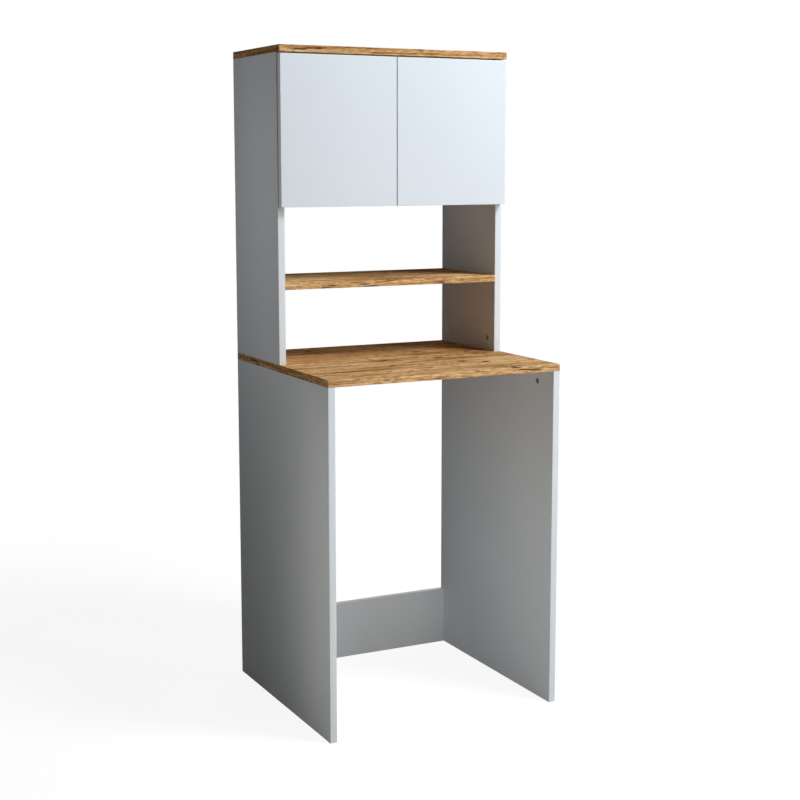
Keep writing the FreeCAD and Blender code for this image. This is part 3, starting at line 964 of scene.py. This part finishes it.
@dataclass(frozen=True)
class TurnedPiece:
    """Small turned piece round Z: radius and height of each ring in millimetres, and a cross in its top."""

    rings: tuple[Span, ...]
    cross: CrossRecess | None = None
    sides: int = 32

    def model(self) -> bpy.types.Object:
        """Model the piece: a short cone whose end is extruded and resized ring by ring.

        Returns:
            The pattern for the copies.
        """
        rings = [(radius * MILLIMETRE, height * MILLIMETRE) for radius, height in self.rings]
        (start_radius, start), (radius, height), *later = rings
        deselect_all()
        bpy.ops.mesh.primitive_cone_add(
            vertices=self.sides, radius1=start_radius, radius2=radius, depth=height - start,
            location=(0, 0, (start + height) / 2))
        piece = bpy.context.active_object
        bpy.ops.object.transform_apply(location=True)
        with editing(piece):
            select_faces(piece, lambda face: len(face.verts) == self.sides and face.normal.z > MOSTLY)
            for next_radius, next_height in later:
                bpy.ops.mesh.extrude_region_move(
                    TRANSFORM_OT_translate={"value": (0, 0, next_height - height)})
                grow = next_radius / radius
                bpy.ops.transform.resize(value=(grow, grow, 1), center_override=(0, 0, next_height))
                radius, height = next_radius, next_height
        if self.cross:
            self.cross.cut(piece, height)
        smooth(piece)
        return piece


@dataclass(frozen=True)
class RoundEndedPlate:
    """Flat plate round Z whose two half-round ends are drawn apart along Y, in millimetres."""

    radius: float
    thickness: float
    up: float
    down: float
    sides: int = 32
    level: float = 0.05  # a side face that looks less than this along Y joins the two ends

    def model(self, place: Matrix) -> bpy.types.Object:
        """Model the plate with its base on Z zero.

        Args:
            place: Placement that is put into its mesh.

        Returns:
            The plate.
        """
        deselect_all()
        thickness = self.thickness * MILLIMETRE
        bpy.ops.mesh.primitive_cylinder_add(
            vertices=self.sides, radius=self.radius * MILLIMETRE, depth=thickness,
            location=(0, 0, thickness / 2), rotation=(0, 0, math.pi / self.sides))
        plate = bpy.context.active_object
        bpy.ops.object.transform_apply(location=True, rotation=True)
        with editing(plate):
            for sign, reach in ((1, self.up), (-1, self.down)):
                select_faces(plate, lambda face: sign * face.normal.y > self.level)
                bpy.ops.transform.translate(value=(0, sign * reach * MILLIMETRE, 0))
        plate.data.transform(place)
        return plate


@dataclass(frozen=True)
class HingeCup:
    """Round hinge cup with a rolled rim, two screw ears and two lugs for the pin, in millimetres."""

    shell: TurnedPiece = TurnedPiece((
        (17.4, -13.0), (17.4, 0.85), (17.25, 1.23), (16.98, 1.35),
        (16.75, 1.35), (16.5, 1.1), (16.5, -11.4), (16.0, -12.0)), sides=56)
    pocket: TurnedPiece = TurnedPiece(((16.9, -2.0), (16.9, 4.0)), sides=56)
    ears: RoundEndedPlate = RoundEndedPlate(6.0, 1.2, 24.0, 24.0)
    ear_offset: float = 6.0
    lug: RoundEndedPlate = RoundEndedPlate(2.3, 2.8, 0.0, 1.6)
    lug_offset: float = -13.3
    lug_spread: float = 4.4
    pin_depth: float = 8.7

    def model(self) -> bpy.types.Object:
        """Model the cup round Z, open upwards, its ears on Z zero and its middle towards X.

        Returns:
            The pattern for the copies.
        """
        across, along = Axis.X.vector, Axis.Z.vector
        ears = self.ears.model(placement(Vector((self.ear_offset * MILLIMETRE, 0, 0)), along, across))
        join_shape(ears, self.pocket.model(), Join.CUT)
        cup = self.shell.model()
        join_shape(cup, ears, Join.UNITE)
        for facing in (1, -1):
            foot = Vector((self.lug_offset, facing * self.lug_spread, -self.pin_depth)) * MILLIMETRE
            lug = self.lug.model(placement(foot, facing * Axis.Y.vector, -facing * across))
            join_shape(cup, lug, Join.UNITE)
        smooth(cup)
        return cup


Shape = TurnedPiece | HingeCup
Copies = list[tuple[Shape, Matrix]]
HINGE_CUP = HingeCup()
CAM_LOCK = TurnedPiece((
    (7.4, -12.5), (7.4, -0.5), (7.25, -0.15), (6.9, 0.0), (5.8, 0.0), (5.45, -0.35)),
    CrossRecess(8.0, 1.6, 2.2), 40)
PAN_SCREW = TurnedPiece((
    (1.6, -13.0), (1.6, 0.0), (3.4, 0.0), (3.4, 0.7), (3.2, 1.15), (2.7, 1.5), (1.9, 1.75), (0.9, 1.8)),
    CrossRecess(3.6, 0.8, 0.9))
PLATE_SCREW = TurnedPiece(((2.8, -14.2), (2.8, -1.5), (4.2, -0.1), (4.1, 0.0)), CrossRecess(5.0, 1.0, 1.2))
CLAMP_SCREW = TurnedPiece((
    (1.8, -4.7), (1.8, 0.0), (3.6, 0.0), (3.6, 0.8), (3.4, 1.35), (2.8, 1.8), (1.8, 2.0)),
    CrossRecess(4.0, 0.9, 1.0))
ADJUSTER = TurnedPiece(((1.8, 0.0), (1.8, 3.7), (1.5, 4.0)), CrossRecess(2.4, 0.7, 0.9))
PANEL_NAIL = TurnedPiece((
    (0.25, -20.0), (0.8, -18.0), (0.8, 0.0), (2.4, 0.0), (2.4, 0.3), (2.15, 0.6), (1.4, 0.78), (0.5, 0.8)))
DOOR_PAD = TurnedPiece((
    (4.0, 0.0), (4.0, 0.9), (3.8, 1.5), (3.2, 2.15), (2.3, 2.6), (1.2, 2.84), (0.3, 2.9)))

WHITE_RUB: Colour = (0.86, 0.87, 0.88)
OAK_RUB: Colour = (0.7, 0.5, 0.29)
WHITE_BOARD = WhiteMelamine("white_melamine", bump=0.08, relief=0.0001, specular=0.07)
WHITE_BAND = WhiteMelamine("white_band", bump=0.05, relief=0.0001, specular=0.15, tint=(0.79, 0.825, 0.86))
OAK_BOARD = OakLaminate("oak_melamine", bump=0.25, relief=0.0003, specular=0.0)
ZINC_CASTING = PlatedMetal(
    "zinc_casting", bump=0.2, gloss=0.48, bright=(0.14, 0.14, 0.145), dull=(0.07, 0.07, 0.075))
ZINC_PLATE = PlatedMetal("zinc_plated_steel", gloss=0.3)
NICKEL_PLATE = PlatedMetal(
    "nickel_plated_steel", gloss=0.2, bright=(0.74, 0.71, 0.67), dull=(0.58, 0.55, 0.52))
BEECH = Beech("beech")
CLEAR_PAD = ClearRubber("clear_pad")
HARDBOARD = Hardboard("hardboard", bump=0.35, relief=0.0003)


def paint(piece: bpy.types.Object, material: bpy.types.Material) -> None:
    """Put one material on a piece in place of what it has."""
    piece.data.materials.clear()
    piece.data.materials.append(material)


class Workshop:
    """Gives pieces their finish, and holds what is made once: effects, materials and patterns."""

    def __init__(self) -> None:
        """Build the effects, with no material or pattern yet."""
        self.effects = Effects()
        self.materials: dict[Finish, bpy.types.Material] = {}
        self.patterns: dict[Shape, bpy.types.Object] = {}

    def shared(self, finish: Finish) -> bpy.types.Material:
        """Material of a finish, made once.

        Args:
            finish: The finish.

        Returns:
            Its material.
        """
        if finish not in self.materials:
            self.materials[finish] = finish.material(finish.slot, self.effects)
        return self.materials[finish]

    def pattern(self, shape: Shape) -> bpy.types.Object:
        """Model of a small piece, made once.

        Args:
            shape: The piece.

        Returns:
            The pattern for its copies.
        """
        if shape not in self.patterns:
            self.patterns[shape] = shape.model()
        return self.patterns[shape]

    def clear_away(self) -> None:
        """Remove the patterns once every copy is made."""
        for pattern in self.patterns.values():
            bpy.data.objects.remove(pattern)

    def dress(self, finish: Finish, *nodes: str) -> None:
        """Give several nodes one plain finish.

        Args:
            finish: The finish.
            *nodes: Names of the nodes.
        """
        for node in nodes:
            paint(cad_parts[node], self.shared(finish))
            log.info("%s: %s", node, finish.slot)

    def dress_board(self, node: str, finish: Finish, rub_colour: Colour) -> None:
        """Give a board its finish with raw edges and rubbed corners.

        Args:
            node: Name of the board.
            finish: Finish of its faces.
            rub_colour: Colour of the rubbed corners.
        """
        wear = BoardWear(*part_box(node), rub_colour)
        paint(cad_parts[node], finish.material(node + "_finish", self.effects, wear))
        log.info("%s: %s board", node, finish.slot)

    def fit(self, name: str, node: str, copies: Copies, finish: Finish, body: str) -> None:
        """Put copies of modelled pieces in place of a plain node.

        Args:
            name: Name of the new piece.
            node: The node it stands for.
            copies: Shape and placement of each copy.
            finish: Their finish.
            body: The body they ride on.
        """
        piece = copies_as_one([(self.pattern(shape), place) for shape, place in copies], name)
        paint(piece, self.shared(finish))
        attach(piece, body)
        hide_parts(node)
        log.info("%s: stands for %s", name, node)


@dataclass
class WhiteBoards:
    """White boards with bands on their open edges."""

    workshop: Workshop
    boards: tuple[str, ...] = ()
    bands: tuple[str, ...] = ()

    def dress(self) -> None:
        """Finish the boards and bands."""
        for board in self.boards:
            self.workshop.dress_board(board, WHITE_BOARD, WHITE_RUB)
        self.workshop.dress(WHITE_BAND, *self.bands)


@dataclass
class MachineBay(WhiteBoards):
    """Two uprights and the low rail behind."""

    boards: tuple[str, ...] = ("lower_side_left", "lower_side_right", "lower_back_rail")
    bands: tuple[str, ...] = ("lower_side_band_left", "lower_side_band_right", "rail_band")


@dataclass
class Hutch(WhiteBoards):
    """White boards of the upper part, and the hardboard back of the cupboard."""

    boards: tuple[str, ...] = ("hutch_side_left", "hutch_side_right", "compartment_floor")
    bands: tuple[str, ...] = ("hutch_side_band_left", "hutch_side_band_right", "floor_band")
    back: str = "back_panel"

    def dress(self) -> None:
        """Finish the boards, bands and back."""
        super().dress()
        self.workshop.dress(HARDBOARD, self.back)


@dataclass
class OakDecks:
    """Worktop, top and shelf: the oak boards, their bands, and each one's own part of the print."""

    workshop: Workshop
    decks: tuple[tuple[str, str, Triple], ...] = (
        ("worktop", "worktop_bands", (2.78, 0.7, 0.0)),
        ("top_panel", "top_bands", (0.9, 0.4, 0.0)),
        ("open_shelf", "shelf_band", (1.7, 1.1, 0.0)))

    def dress(self) -> None:
        """Finish each board and its bands with the same part of the print."""
        for board, band, offset in self.decks:
            self.workshop.dress_board(board, replace(OAK_BOARD, offset=offset), OAK_RUB)
            self.workshop.dress(replace(OAK_BOARD, slot="oak_band", offset=offset), band)


@dataclass(frozen=True)
class HingePlace:
    """Place at a hinge in millimetres: in from the upright, back from its front edge, up and down."""

    inwards: float
    back: float
    spread: float = 0.0


@dataclass
class CupboardDoor:
    """One door with its bands, pad and hinges."""

    workshop: Workshop
    side: Side
    ear_reach: float = 30.0
    cup: HingePlace = HingePlace(4.0, -3.0)
    cup_screws: HingePlace = HingePlace(10.0, -1.8, 24.0)
    plate_screws: HingePlace = HingePlace(2.2, 37.0, 16.0)
    clamp: HingePlace = HingePlace(6.9, 45.0)
    adjuster: HingePlace = HingePlace(5.2, 29.0)

    def node(self, piece: str) -> str:
        """Name of one piece of this side."""
        return piece + "_" + self.side.word

    def inwards(self) -> Vector:
        """Direction from this side's upright to the middle of the cupboard."""
        return -self.side.value * Axis.X.vector

    def dress(self) -> None:
        """Finish the slab, bands and hinges, and fit rounder pads, cups and screws for the plain ones."""
        self.workshop.dress_board(self.node("door"), WHITE_BOARD, WHITE_RUB)
        self.workshop.dress(WHITE_BAND, self.node("door_bands"))
        self.workshop.dress(NICKEL_PLATE, self.node("hinge_arms"), self.node("hinge_plates"))
        self.workshop.dress(ZINC_PLATE, self.node("hinge_pins"))
        self.fit_pad()
        self.fit_hinges()

    def fit_pad(self) -> None:
        """Put the domed pad on the door's back."""
        plain = self.node("door_bumper")
        low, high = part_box(plain)
        middle = (low + high) / 2
        place = placement(Vector((middle.x, low.y, middle.z)), Axis.Y.vector, Axis.X.vector)
        self.workshop.fit(self.node("door_pad"), plain, [(DOOR_PAD, place)], CLEAR_PAD, self.node("door"))

    def fit_hinges(self) -> None:
        """Put round cups in the door and cross-head screws in the cups, plates and arms."""
        door, back, inwards = self.node("door"), Axis.Y.vector, self.inwards()
        cups = self.copies(HINGE_CUP, self.cup, back)
        cup_screws = self.copies(PAN_SCREW, self.cup_screws, back)
        plate_screws = self.copies(PLATE_SCREW, self.plate_screws, inwards)
        arm_screws = self.copies(CLAMP_SCREW, self.clamp, inwards)
        arm_screws += self.copies(ADJUSTER, self.adjuster, inwards)
        for name, plain, copies, finish, body in (
                ("round_hinge_cups", "hinge_cups", cups, NICKEL_PLATE, door),
                ("pan_head_screws", "hinge_cup_screws", cup_screws, ZINC_PLATE, door),
                ("sunk_screws", "hinge_plate_screws", plate_screws, ZINC_PLATE, CARCASS),
                ("arm_cross_screws", "hinge_arm_screws", arm_screws, ZINC_PLATE, CARCASS)):
            self.workshop.fit(self.node(name), self.node(plain), copies, finish, body)

    def copies(self, shape: Shape, place: HingePlace, along: Vector) -> Copies:
        """Copies of a small piece at both hinges.

        Args:
            shape: The piece.
            place: Its place at a hinge, from the upright's inner front corner.
            along: Where the piece's own Z points.

        Returns:
            The copies, with the piece's own X inwards, or backwards where its Z points inwards.
        """
        corner_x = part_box(self.node("hutch_side"))[0 if self.side is Side.RIGHT else 1].x
        corner_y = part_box(self.node("hutch_side_band"))[0].y
        low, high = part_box(self.node("hinge_cups"))
        reach, spread = self.ear_reach * MILLIMETRE, place.spread * MILLIMETRE
        across = Axis.Y.vector if abs(along.x) > MOSTLY else self.inwards()
        made = []
        for height in (low.z + reach, high.z - reach):
            for step in (-spread, spread) if spread else (0.0,):
                origin = Vector((corner_x, corner_y + place.back * MILLIMETRE, height + step))
                origin += self.inwards() * place.inwards * MILLIMETRE
                made.append((shape, placement(origin, along, across)))
        return made


@dataclass
class Fittings:
    """Cams, bolts, dowels and nails that hold the boards together; sizes in millimetres."""

    workshop: Workshop
    joints: tuple[tuple[str, CamFace], ...] = (
        ("worktop", CamFace.INWARDS), ("hutch_foot", CamFace.INWARDS), ("top", CamFace.INWARDS),
        ("floor", CamFace.DOWN), ("rail", CamFace.BACK))
    shelf_dowels: str = "shelf_dowels"
    nails: str = "back_panel_nails"
    cam_radius: float = 7.4
    cam_depth: float = 12.5
    nail_count: int = 5
    nail_radius: float = 2.4
    nail_height: float = 0.8

    def dress(self) -> None:
        """Finish the hidden fittings, and put round cams and nails in place of the plain ones."""
        self.workshop.dress(ZINC_PLATE, *(joint + "_bolts" for joint, _ in self.joints))
        self.workshop.dress(BEECH, *(joint + "_dowels" for joint, _ in self.joints), self.shelf_dowels)
        for joint, facing in self.joints:
            plain = joint + "_cams"
            cams = [(CAM_LOCK, place) for place in self.cam_places(plain, facing)]
            self.workshop.fit(joint + "_cam_locks", plain, cams, ZINC_CASTING, CARCASS)
        nails = [(PANEL_NAIL, place) for place in self.nail_places()]
        self.workshop.fit("round_nails", self.nails, nails, ZINC_PLATE, CARCASS)

    def nail_places(self) -> list[Matrix]:
        """Placements of the nails, evenly spaced along the back's lower edge.

        Returns:
            One placement for each nail.
        """
        low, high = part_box(self.nails)
        radius, height = self.nail_radius * MILLIMETRE, self.nail_height * MILLIMETRE
        first, last = low.x + radius, high.x - radius
        step = (last - first) / (self.nail_count - 1)
        middle = (low.z + high.z) / 2
        steps = (first + index * step for index in range(self.nail_count))
        return [placement(Vector((place, high.y - height, middle)), Axis.Y.vector, Axis.X.vector)
                for place in steps]

    def cam_places(self, node: str, facing: CamFace) -> list[Matrix]:
        """Placement of each cam, from the box round the node's cams.

        Args:
            node: Name of the cams' node.
            facing: Which way they face.

        Returns:
            One placement for each cam, its face on the board's face.
        """
        low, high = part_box(node)
        middle = (low + high) / 2
        radius, depth = self.cam_radius * MILLIMETRE, self.cam_depth * MILLIMETRE
        across = (low.x + radius, high.x - radius)
        x, y, z = (axis.vector for axis in Axis)
        if facing is CamFace.BACK:
            return [placement(Vector((place, high.y, middle.z)), y, x) for place in across]
        if facing is CamFace.DOWN:
            return [placement(Vector((place, middle.y, low.z)), -z, x) for place in across]
        face = high.x - depth
        return [placement(Vector((side.value * face, place, middle.z)), -side.value * x, y)
                for side in Side for place in (low.y + radius, high.y - radius)]


@dataclass(frozen=True)
class Lamp:
    """Soft lamp: where it hangs, what it points at, its width and height, its power and its colour."""

    name: str
    place: Triple
    target: Triple
    size: Span
    watts: float
    colour: Colour

    def hang(self) -> None:
        """Hang the lamp where the camera doesn't see it."""
        deselect_all()
        bpy.ops.object.light_add(type="AREA", location=self.place)
        lamp = bpy.context.active_object
        lamp.name = self.name
        lamp.data.shape = "RECTANGLE"
        lamp.data.size, lamp.data.size_y = self.size
        lamp.data.energy = self.watts
        lamp.data.color = self.colour
        lamp.visible_camera = False
        lamp.rotation_mode = "QUATERNION"
        lamp.rotation_quaternion = (Vector(self.target) - Vector(self.place)).to_track_quat("-Z", "Y")


LAMPS = (
    Lamp("key", (2.3, -2.35, 2.4), (0.1, 0.0, 1.3), (1.2, 1.2), 47.5, (0.9, 0.946, 1.0)),
    Lamp("overhead", (1.5, -1.8, 3.6), (0.1, -0.2, 0.9), (1.0, 1.0), 87.5, (0.925, 0.965, 1.0)),
    Lamp("front", (0.6, -1.8, 0.35), (0.05, 0.2, 0.2), (0.8, 0.5), 2.0, (1.0, 0.99, 0.96)),
    Lamp("far_front", (0.2, -3.6, 0.7), (0.0, 0.0, 0.6), (1.2, 1.2), 21.0, (1.0, 0.955, 0.89)),
    Lamp("low_left", (-0.6, -0.36, 0.45), (-0.325, -0.2, 0.45), (0.15, 0.9), 0.49, (1.0, 0.946, 0.862)),
    Lamp("high_left", (-0.85, 0.05, 1.38), (-0.325, 0.15, 1.36), (0.2, 0.9), 0.77, (1.0, 0.96, 0.92)),
    Lamp("bay", (-0.24, -0.44, 0.4), (0.307, -0.12, 0.4), (0.1, 0.75), 0.62, (1.0, 0.9, 0.77)),
    Lamp("back", (1.6, 3.2, 1.1), (0.0, 0.3, 0.9), (1.6, 1.6), 45.0, (1.0, 0.99, 0.975)))


def seen_in_studio(graph: Graph) -> Socket:
    """Tell rays from the camera, a mirror or clear plastic from light that falls on the object.

    Args:
        graph: Graph of the floor or the background.

    Returns:
        1 for the first, 0 for the second.
    """
    path = graph.node("ShaderNodeLightPath").outputs
    straight = graph.math("MAXIMUM", path["Is Camera Ray"], path["Is Glossy Ray"])
    return graph.math("MAXIMUM", straight, path["Is Transmission Ray"])


@dataclass
class Studio:
    """Pale floor, white background and soft lamps."""

    floor_size: float = 40.0
    floor_colour: Colour = (0.2, 0.2, 0.2)
    floor_glow: float = 0.885
    floor_fade: Span = (1.2, 2.6)
    ambient: Colour = (1.0, 0.98, 0.95)
    ambient_strength: float = 0.03
    white: Colour = (1.0, 1.0, 1.0)

    def build(self) -> None:
        """Make the floor, the background and the lamps."""
        self.floor()
        self.background()
        for lamp in LAMPS:
            lamp.hang()

    def floor(self) -> None:
        """Large pale floor that keeps the object's shadow and fades to white."""
        deselect_all()
        bpy.ops.mesh.primitive_plane_add(size=self.floor_size)
        floor = bpy.context.active_object
        floor.name = "studio_floor"
        material = bpy.data.materials.new("studio_floor")
        material.use_nodes = True
        graph = Graph(material.node_tree)
        seen = seen_in_studio(graph)
        place = graph.node("ShaderNodeTexCoord").outputs["Object"]
        away = graph.node("ShaderNodeVectorMath", {0: place}, operation="LENGTH").outputs["Value"]
        grey = graph.node("ShaderNodeBsdfDiffuse", {"Color": self.floor_colour}).outputs[0]
        glowing = graph.math("MULTIPLY", seen, self.floor_glow)
        glow = graph.node("ShaderNodeEmission", {"Strength": glowing}).outputs[0]
        white = graph.node("ShaderNodeEmission", {"Strength": seen}).outputs[0]
        near = graph.node("ShaderNodeAddShader", {0: grey, 1: glow}).outputs[0]
        fade = graph.math("MULTIPLY", graph.ease(away, *self.floor_fade), seen)
        surface = graph.node("ShaderNodeMixShader", {0: fade, 1: near, 2: white})
        graph.node("ShaderNodeOutputMaterial", {"Surface": surface.outputs[0]})
        floor.data.materials.append(material)

    def background(self) -> None:
        """White where it is seen, a soft plain level where it lights the object."""
        world = bpy.data.worlds.new("studio")
        bpy.context.scene.world = world
        world.use_nodes = True
        graph = Graph(world.node_tree)
        soft, white = (
            graph.node("ShaderNodeBackground", {"Color": colour, "Strength": strength}).outputs[0]
            for colour, strength in ((self.ambient, self.ambient_strength), (self.white, 1.0)))
        mixed = graph.node("ShaderNodeMixShader", {0: seen_in_studio(graph), 1: soft, 2: white})
        graph.node("ShaderNodeOutputWorld", {"Surface": mixed.outputs[0]})


@dataclass
class PhotoCamera:
    """Camera at the photograph's viewing angle: place in metres, angles in degrees, picture in pixels."""

    place: Triple = (-1.773, -3.532, 1.413)
    yaw: float = 26.89
    pitch: float = -8.08
    focal_pixels: float = 1509.0
    centre_row: float = 376.0
    image_size: float = 800.0
    sensor: float = 36.0

    def build(self) -> None:
        """Make the camera and look through it."""
        data = bpy.data.cameras.new("photo_camera")
        data.sensor_width = self.sensor
        data.lens = self.focal_pixels / self.image_size * self.sensor
        data.shift_y = (self.centre_row - self.image_size / 2) / self.image_size
        camera = bpy.data.objects.new("photo_camera", data)
        bpy.context.scene.collection.objects.link(camera)
        camera.location = self.place
        camera.rotation_euler = (QUARTER_TURN + math.radians(self.pitch), 0.0, math.radians(-self.yaw))
        bpy.context.scene.camera = camera


def main() -> None:
    """Dress the cabinet and set up the studio and the camera."""
    logging.basicConfig(level=logging.INFO, format="%(name)s: %(message)s")
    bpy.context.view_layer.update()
    workshop = Workshop()
    doors = [CupboardDoor(workshop, side) for side in Side]
    for assembly in (MachineBay(workshop), OakDecks(workshop), Hutch(workshop), *doors, Fittings(workshop)):
        assembly.dress()
    workshop.clear_away()
    Studio().build()
    PhotoCamera().build()
    bpy.context.scene.view_settings.view_transform = "Standard"


if __name__ == "__main__":
    main()
